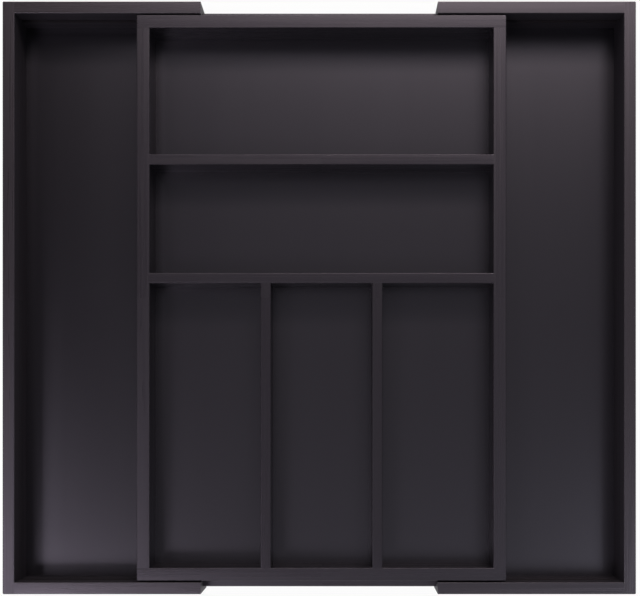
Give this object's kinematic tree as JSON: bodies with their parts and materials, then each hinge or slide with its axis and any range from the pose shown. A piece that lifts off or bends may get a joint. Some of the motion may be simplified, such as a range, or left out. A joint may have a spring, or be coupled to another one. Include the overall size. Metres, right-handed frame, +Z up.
{
  "type": "expanding cutlery tray",
  "caption": "Shallow wooden drawer tray for cutlery: a divided centre tray on rails between open-ended wing trays that slide in and out to fit the drawer's width.",
  "frame": {"origin": "on the surface that the tray stands on, under the middle of the centre tray", "axes": "+X to the right, the way the wings slide; +Y to the back, away from the lengthwise compartments; +Z up"},
  "size_m": [0.4909, 0.4594, 0.056],
  "materials": {
    "wall_bamboo": "black stained bamboo strip, satin lacquer",
    "floor_panel": "black stained bamboo ply, satin lacquer",
    "slide_rail": "black stained bamboo strip, waxed",
    "stop_pin": "blackened steel pin"
  },
  "bodies": {
    "centre_tray": {"centre_front_wall": "wall_bamboo", "centre_back_wall": "wall_bamboo", "centre_left_wall": "wall_bamboo", "centre_right_wall": "wall_bamboo", "centre_floor": "floor_panel", "rear_cross_divider": "wall_bamboo", "front_cross_divider": "wall_bamboo", "left_lengthwise_divider": "wall_bamboo", "right_lengthwise_divider": "wall_bamboo", "front_slide_rail": "slide_rail", "back_slide_rail": "slide_rail"},
    "left_wing": {"left_wing_side_wall": "wall_bamboo", "left_wing_front_wall": "wall_bamboo", "left_wing_back_wall": "wall_bamboo", "left_wing_floor": "floor_panel", "left_wing_stop_pins": "stop_pin"},
    "right_wing": {"right_wing_side_wall": "wall_bamboo", "right_wing_front_wall": "wall_bamboo", "right_wing_back_wall": "wall_bamboo", "right_wing_floor": "floor_panel", "right_wing_stop_pins": "stop_pin"}
  },
  "joints": [
    {"name": "left_wing_slide", "type": "slide", "parent": "centre_tray", "child": "left_wing", "axis": [1, 0, 0], "range_m": [0, 0.0934]},
    {"name": "right_wing_slide", "type": "slide", "parent": "centre_tray", "child": "right_wing", "axis": [-1, 0, 0], "range_m": [-0.0035, 0.0899]}
  ]
}
